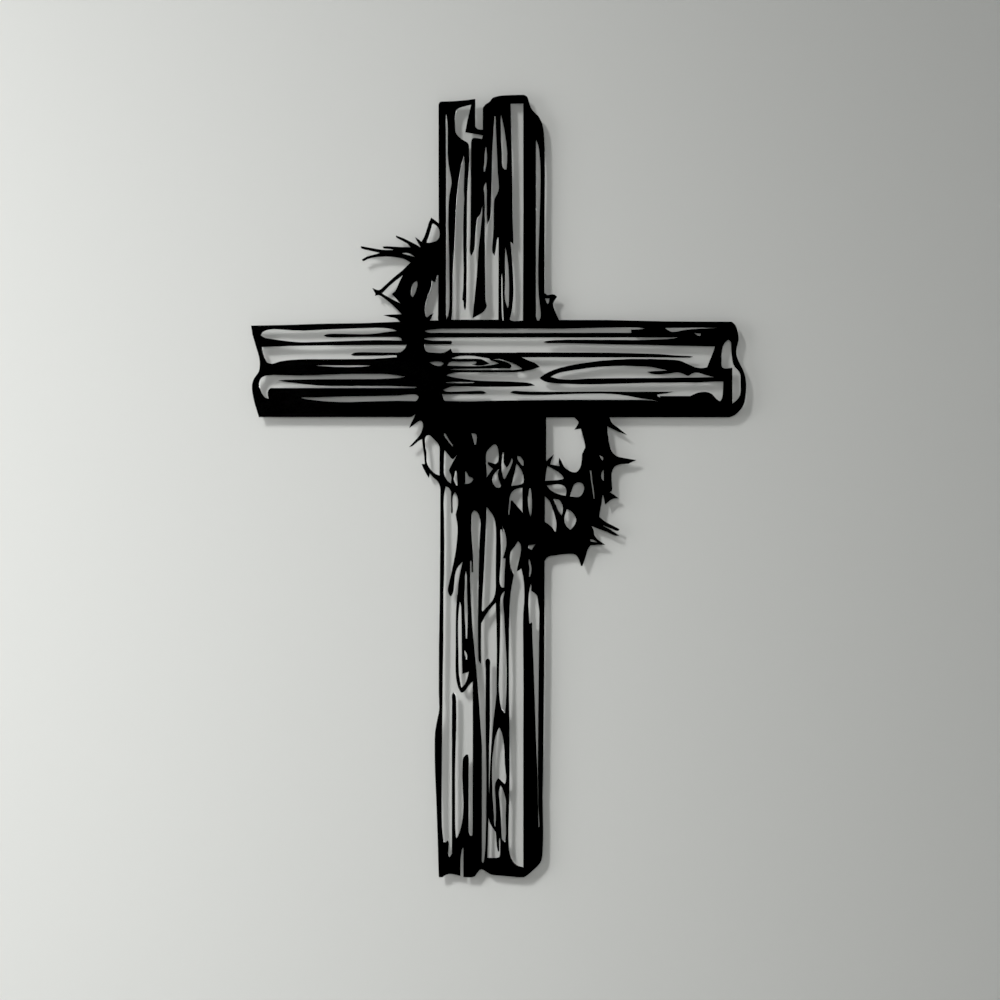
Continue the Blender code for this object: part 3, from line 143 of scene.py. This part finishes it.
def fitted_radii(points, faces, edges, step):
    """The rounding's radius at each corner: the full one, or less where a thorn or a bridge is too thin.

    Wherever the drawn-in face would keep less than its share of a triangle or of a cut edge, the radius at
    those corners shrinks by a fifth, again and again.
    """
    radius = np.full(len(points), EDGE_RADIUS)
    full = doubled_areas(points, faces)
    run = points[edges[:, 1]] - points[edges[:, 0]]
    for _ in range(SHRINKS):
        inner = points + step * radius[:, None]
        inner_run = inner[edges[:, 1]] - inner[edges[:, 0]]
        thin = doubled_areas(inner, faces) < KEPT_SHARE * full
        short = (inner_run * run).sum(axis=1) < KEPT_SHARE * (run * run).sum(axis=1)
        radius[np.unique(faces[thin])] *= SHRINK
        radius[np.unique(edges[short])] *= SHRINK
        radius = np.maximum(radius, SMALLEST_RADIUS)
    return radius


def rounded_edge(front, back):
    """The profile of a cut edge, from the front face over two quarter circles to the back face.

    Each station gives its y, how many radii it is drawn in, how many radii it lies behind that y, and its
    normal as shares of the face's own and of the cut's.
    """
    angle = np.linspace(0, math.pi / 2, ROUNDING_STEPS + 1)
    drawn_in = 1 - np.sin(angle)
    behind = 1 - np.cos(angle)
    toward_front = np.concatenate([np.cos(angle), -np.cos(angle)[::-1]])
    outwards = np.concatenate([np.sin(angle), np.sin(angle)[::-1]])
    level = np.repeat([front, back], len(angle))
    return (level, np.concatenate([drawn_in, drawn_in[::-1]]), np.concatenate([behind, -behind[::-1]]),
            toward_front, outwards)


def finished_piece(name, places, faces, normals=None):
    """A new object from whole arrays: corner places, groups of faces with as many corners each, and normals.

    Without normals of its own it is smooth, and sharp where two faces turn by more than CREASE.
    """
    mesh = bpy.data.meshes.new(name)
    loops = np.concatenate([group.ravel() for group in faces])
    sides = np.concatenate([np.full(len(group), group.shape[1]) for group in faces])
    starts = np.concatenate([[0], np.cumsum(sides)[:-1]])
    mesh.vertices.add(len(places))
    mesh.vertices.foreach_set("co", places.astype(np.float32).ravel())
    mesh.loops.add(len(loops))
    mesh.loops.foreach_set("vertex_index", loops.astype(np.int32))
    mesh.polygons.add(len(sides))
    mesh.polygons.foreach_set("loop_start", starts.astype(np.int32))
    mesh.update(calc_edges=True)
    mesh.shade_smooth()
    if normals is None:
        mesh.set_sharp_from_angle(angle=CREASE)
    else:
        mesh.normals_split_custom_set(normals.tolist())
    piece = bpy.data.objects.new(name, mesh)
    bpy.context.scene.collection.objects.link(piece)
    return piece


def carried_profile(points, faces, edges, front, back):
    """The sheet: its front and back faces, and the rounded edge carried round every cut.

    A corner of station k lies at its outline point plus its mitred step times the drawn-in radii. Where two
    cut edges meet at a shallow angle they share a normal, and at a real corner each keeps its own.
    """
    outward = cut_normals(points, edges)
    before, after, step = mitred_steps(points, edges, outward)
    radius = fitted_radii(points, faces, edges, step)
    level, drawn_in, behind, toward_front, outwards = rounded_edge(front, back)
    stations, count = len(level), len(points)
    flat = points[None] + step[None] * (radius[None] * drawn_in[:, None])[:, :, None]
    depth = level[:, None] + behind[:, None] * radius[None]
    places = np.stack([flat[:, :, 0], depth, flat[:, :, 1]], axis=2).reshape(-1, 3)

    ring = np.arange(stations - 1)[:, None] * count
    start, end = edges[:, 0][None], edges[:, 1][None]
    walls = np.stack([ring + start, ring + count + start, ring + count + end, ring + end], axis=2)
    front_face = faces
    back_face = faces[:, ::-1] + (stations - 1) * count

    shared = before + after
    shared /= np.maximum(np.linalg.norm(shared, axis=1, keepdims=True), TINY)
    soft = ((before * after).sum(axis=1) > math.cos(SOFT_CORNER))[:, None]
    leaning = [np.stack([outwards[:, None] * across[:, 0], np.tile(-toward_front[:, None], len(edges)),
                         outwards[:, None] * across[:, 1]], axis=2)
               for across in (np.where(soft[edges[:, i]], shared[edges[:, i]], outward) for i in (0, 1))]
    wall_normals = np.stack([leaning[0][:-1], leaning[0][1:], leaning[1][1:], leaning[1][:-1]], axis=2)
    normals = np.concatenate([np.tile([0.0, -1.0, 0.0], (front_face.size, 1)),
                              np.tile([0.0, 1.0, 0.0], (back_face.size, 1)), wall_normals.reshape(-1, 3)])
    return places, [front_face, back_face, walls.reshape(-1, 4)], normals


cad_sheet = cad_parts["cross_sheet"]
sheet_corners, sheet_triangles = merged_net(cad_sheet.data)
outline, front_faces, cuts = front_net(sheet_corners, sheet_triangles)
if doubled_areas(outline, front_faces).sum() < 0:
    raise ValueError("the front's triangles turn the other way")
SHEET_FRONT, SHEET_BACK = float(sheet_corners[:, 1].min()), float(sheet_corners[:, 1].max())
profile = carried_profile(outline, front_faces, cuts, SHEET_FRONT, SHEET_BACK)
cross = finished_piece("coated_cross", *profile)


COAT_DARK = (0.0010, 0.0010, 0.0010, 1.0)
COAT_LIGHT = (0.0018, 0.0018, 0.0018, 1.0)
COAT_SMOOTH, COAT_ROUGH = 0.50, 0.62
COAT_SPECULAR = 0.1
PEEL_SCALE, PEEL_STRENGTH, PEEL_HEIGHT = 500.0, 0.5, 0.00012
GRAIN_SCALE, GRAIN_STRENGTH, GRAIN_HEIGHT = 2000.0, 0.35, 0.00003
DRIFT_SCALE = 11.0
NOISE_LOW, NOISE_HIGH = 0.3, 0.7
CUT_EDGE_STRETCH = 0.15


def new_material(name):
    """A material with its Principled shader, and a helper that adds a node and sets its plain inputs."""
    material = bpy.data.materials.new(name)
    material.use_nodes = True
    tree = material.node_tree
    shader = tree.nodes["Principled BSDF"]

    def node(kind, **inputs):
        made = tree.nodes.new(kind)
        for key, value in inputs.items():
            made.inputs[key.replace("_", " ")].default_value = value
        return made

    return material, shader, node, tree.links.new


def powder_coat(name, across_sheet=1.0):
    """Matte black polyester powder: nearly no colour, a broad weak gloss, and two sizes of orange peel.

    A coarse noise of 2 mm gives the peel, a fine one of 0.5 mm the grain of the powder, and a slow one of
    90 mm lets the roughness drift. Below one, across_sheet draws the pattern out through the thickness, as
    the laser's own lines do in a cut edge.
    """
    material, shader, node, link = new_material(name)
    shader.inputs["Specular IOR Level"].default_value = COAT_SPECULAR
    place = node("ShaderNodeTexCoord")
    turn = node("ShaderNodeMapping")
    turn.inputs["Scale"].default_value = (1.0, across_sheet, 1.0)
    link(place.outputs["Object"], turn.inputs["Vector"])

    def noise(scale, detail, roughness):
        made = node("ShaderNodeTexNoise", Scale=scale, Detail=detail, Roughness=roughness)
        link(turn.outputs["Vector"], made.inputs["Vector"])
        return made.outputs["Fac"]

    peel = noise(PEEL_SCALE, 2.0, 0.5)
    grain = noise(GRAIN_SCALE, 1.0, 0.5)
    drift = noise(DRIFT_SCALE, 3.0, 0.55)

    def spread(value, low, high):
        made = node("ShaderNodeMapRange")
        made.inputs["From Min"].default_value = NOISE_LOW
        made.inputs["From Max"].default_value = NOISE_HIGH
        made.inputs["To Min"].default_value = low
        made.inputs["To Max"].default_value = high
        link(value, made.inputs["Value"])
        return made.outputs["Result"]

    tone = node("ShaderNodeMix")
    tone.data_type = "RGBA"
    tone.inputs["A"].default_value = COAT_DARK
    tone.inputs["B"].default_value = COAT_LIGHT
    link(spread(peel, 0.0, 1.0), tone.inputs["Factor"])
    link(tone.outputs["Result"], shader.inputs["Base Color"])
    link(spread(drift, COAT_SMOOTH, COAT_ROUGH), shader.inputs["Roughness"])

    fine = node("ShaderNodeBump", Strength=GRAIN_STRENGTH, Distance=GRAIN_HEIGHT)
    link(grain, fine.inputs["Height"])
    coarse = node("ShaderNodeBump", Strength=PEEL_STRENGTH, Distance=PEEL_HEIGHT)
    link(peel, coarse.inputs["Height"])
    link(fine.outputs["Normal"], coarse.inputs["Normal"])
    link(coarse.outputs["Normal"], shader.inputs["Normal"])
    return material


coat = powder_coat("black_powder_coat", CUT_EDGE_STRETCH)
cross.data.materials.append(coat)
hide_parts("cross_sheet")
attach(cross, "root")


# The five stand-offs: short turned steel posts, welded to the sheet's back and powder-coated with it.
# A small chamfer breaks the end that meets the wall, and a weld bead fills the corner at the sheet.

POST_SIDES = 64
POST_CHAMFER = 0.0005
BEAD = 0.0012
BEAD_STEPS = 4


def turned_post(centre, radius, wall, back):
    """A turned post: its profile of (radius, y), carried once round the y axis.

    From the wall end's middle it runs out over the chamfer, along the shank, and out over the hollow
    quarter circle of the weld bead to the sheet's back.
    """
    sweep = np.linspace(0, math.pi / 2, BEAD_STEPS + 1)
    across = np.concatenate([[radius - POST_CHAMFER, radius], radius + BEAD * (1 - np.cos(sweep))])
    along = np.concatenate([[wall, wall - POST_CHAMFER], back + BEAD * (1 - np.sin(sweep))])
    turn = np.linspace(0, 2 * math.pi, POST_SIDES, endpoint=False)
    rings = np.stack([centre[0] + across[:, None] * np.cos(turn), np.tile(along[:, None], POST_SIDES),
                      centre[2] + across[:, None] * np.sin(turn)], axis=2)
    ends = [[centre[0], wall, centre[2]], [centre[0], back, centre[2]]]
    places = np.concatenate([rings.reshape(-1, 3), ends])
    side = np.arange(POST_SIDES)
    after = np.roll(side, -1)
    ring = np.arange(len(across) - 1)[:, None] * POST_SIDES
    further = ring + POST_SIDES
    last = (len(across) - 1) * POST_SIDES
    skin = np.stack([ring + side, ring + after, further + after, further + side], axis=2)
    wall_end = np.stack([np.full(POST_SIDES, len(places) - 2), after, side], axis=1)
    sheet_end = np.stack([np.full(POST_SIDES, len(places) - 1), last + side, last + after], axis=1)
    return places, [wall_end, sheet_end, skin.reshape(-1, 4)]


post_coat = powder_coat("black_powder_coat_posts")
for where in ("hub", "top", "foot", "left", "right"):
    low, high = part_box("standoff_" + where)
    middle = (np.array(low) + np.array(high)) / 2
    radius = (high[0] - low[0]) / 2
    post = finished_piece(where + "_post", *turned_post(middle, radius, high[1], SHEET_BACK))
    post.data.materials.append(post_coat)
    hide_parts("standoff_" + where)
    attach(post, "root")


# The wall that the cross hangs on and the floor below it, both plain and pale. They are the stage.
# The wall can't be seen from behind, so that the cross's back can, and it lets light through to it.

WALL_TONE = (0.76, 0.77, 0.745, 1.0)
FLOOR_TONE = (0.70, 0.70, 0.685, 1.0)
WALL_HALF_WIDTH, WALL_TOP, FLOOR_LEVEL, FLOOR_REACH = 3.0, 1.6, -1.1, 4.0
WALL_GAP = 0.0002
PAINT_ROUGHNESS = 0.85
PAINT_SPECULAR = 0.2


def flat_stage(name, corners, tone, one_sided):
    """A four-cornered plain surface in a matte paint. If it is one-sided, its back is clear."""
    mesh = bpy.data.meshes.new(name)
    mesh.from_pydata(corners, [], [(0, 1, 2, 3)])
    surface = bpy.data.objects.new(name, mesh)
    bpy.context.scene.collection.objects.link(surface)
    material, shader, node, link = new_material(name + "_paint")
    shader.inputs["Base Color"].default_value = tone
    shader.inputs["Roughness"].default_value = PAINT_ROUGHNESS
    shader.inputs["Specular IOR Level"].default_value = PAINT_SPECULAR
    if one_sided:
        side = node("ShaderNodeNewGeometry")
        clear = node("ShaderNodeBsdfTransparent")
        mix = node("ShaderNodeMixShader")
        link(side.outputs["Backfacing"], mix.inputs["Fac"])
        link(shader.outputs["BSDF"], mix.inputs[1])
        link(clear.outputs["BSDF"], mix.inputs[2])
        link(mix.outputs["Shader"], material.node_tree.nodes["Material Output"].inputs["Surface"])
    mesh.materials.append(material)
    surface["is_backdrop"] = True
    return surface


w, f = WALL_HALF_WIDTH, FLOOR_REACH
wall_corners = [(-w, WALL_GAP, FLOOR_LEVEL), (w, WALL_GAP, FLOOR_LEVEL), (w, WALL_GAP, WALL_TOP),
                (-w, WALL_GAP, WALL_TOP)]
floor_corners = [(-f, -f, FLOOR_LEVEL), (f, -f, FLOOR_LEVEL), (f, f, FLOOR_LEVEL), (-f, f, FLOOR_LEVEL)]
wall = flat_stage("wall", wall_corners, WALL_TONE, True)
wall.visible_shadow = False
flat_stage("floor", floor_corners, FLOOR_TONE, False)


# The light: a soft window light from the upper left throws the shadow a little right and down. It is aimed to
# the left of the cross, so the wall darkens to the right. Broad lamps at the left and in front and an even room
# light fill the shadows and the openings, and a narrow lamp behind the wall shows the cross's back.

WINDOW_WAY = np.array([-0.81, -1.0, 0.69])
WINDOW_DISTANCE = 4.5
WINDOW_SPREAD = 0.44
WINDOW_POWER = 1960.0
WINDOW_CONE = math.radians(18.5)
WINDOW_AIM = (-0.945, 0.0, -0.03)
ROOM_TONE = (0.985, 1.0, 0.99, 1.0)
ROOM_STRENGTH = 0.15
ROOM_SIDE_SIZE = 0.9
ROOM_SIDE_POWER = 4.6
ROOM_SIDE_PLACE = (-1.15, -0.7, 0.1)
FRONT_SIZE = 0.8
FRONT_POWER = 32.0
FRONT_PLACE = (0.0, -4.6, 0.3)
BACK_SIZE = 0.6
BACK_POWER = 5.0
BACK_PLACE = (0.9, 2.9, 0.2)
BACK_SPREAD = math.radians(26)
DEEPEST_BLACK = (0.0085, 0.0085, 0.0085)


def aimed(light, at, towards):
    """Places a lamp at one point and turns it to look at another."""
    lamp = bpy.data.objects.new(light.name, light)
    lamp.location = at
    lamp.rotation_euler = (Vector(towards) - Vector(at)).to_track_quat("-Z", "Y").to_euler()
    bpy.context.scene.collection.objects.link(lamp)
    return lamp


def soft_window(name, size, power, at, towards, spread=math.pi):
    """A broad, even, square lamp. The spread is the whole angle that it shines into."""
    light = bpy.data.lights.new(name, "AREA")
    light.shape = "SQUARE"
    light.size, light.energy, light.spread = size, power, spread
    return aimed(light, at, towards)


window = bpy.data.lights.new("window", "SPOT")
window.energy, window.spot_size, window.spot_blend = WINDOW_POWER, WINDOW_CONE, 1.0
window.shadow_soft_size = WINDOW_DISTANCE * WINDOW_SPREAD / 2
aimed(window, WINDOW_WAY / np.linalg.norm(WINDOW_WAY) * WINDOW_DISTANCE, WINDOW_AIM)
soft_window("room_side", ROOM_SIDE_SIZE, ROOM_SIDE_POWER, ROOM_SIDE_PLACE, (-0.2, 0.0, -0.1))
soft_window("front_fill", FRONT_SIZE, FRONT_POWER, FRONT_PLACE, (0.0, 0.0, 0.0))
soft_window("back_light", BACK_SIZE, BACK_POWER, BACK_PLACE, (0.0, 0.0, -0.05), BACK_SPREAD)

world = bpy.data.worlds.new("room")
world.use_nodes = True
sky = world.node_tree.nodes["Background"]
sky.inputs["Color"].default_value = ROOM_TONE
sky.inputs["Strength"].default_value = ROOM_STRENGTH
bpy.context.scene.world = world
tones = bpy.context.scene.view_settings
tones.view_transform = "Standard"
tones.use_curve_mapping = True
tones.curve_mapping.black_level = DEEPEST_BLACK
tones.curve_mapping.update()


# The camera stands square to the wall, far enough back that the cross shows no perspective.

VIEW_WIDTH = 0.78
VIEW_MIDDLE = (0.0070, -0.0651)
CAMERA_DISTANCE = 4.0
SENSOR_WIDTH = 36.0

camera = bpy.data.cameras.new("camera")
camera.sensor_width = SENSOR_WIDTH
camera.lens = SENSOR_WIDTH * CAMERA_DISTANCE / VIEW_WIDTH
looked_at = (VIEW_MIDDLE[0], SHEET_FRONT, VIEW_MIDDLE[1])
standing = (VIEW_MIDDLE[0], SHEET_FRONT - CAMERA_DISTANCE, VIEW_MIDDLE[1])
bpy.context.scene.camera = aimed(camera, standing, looked_at)

low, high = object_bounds()
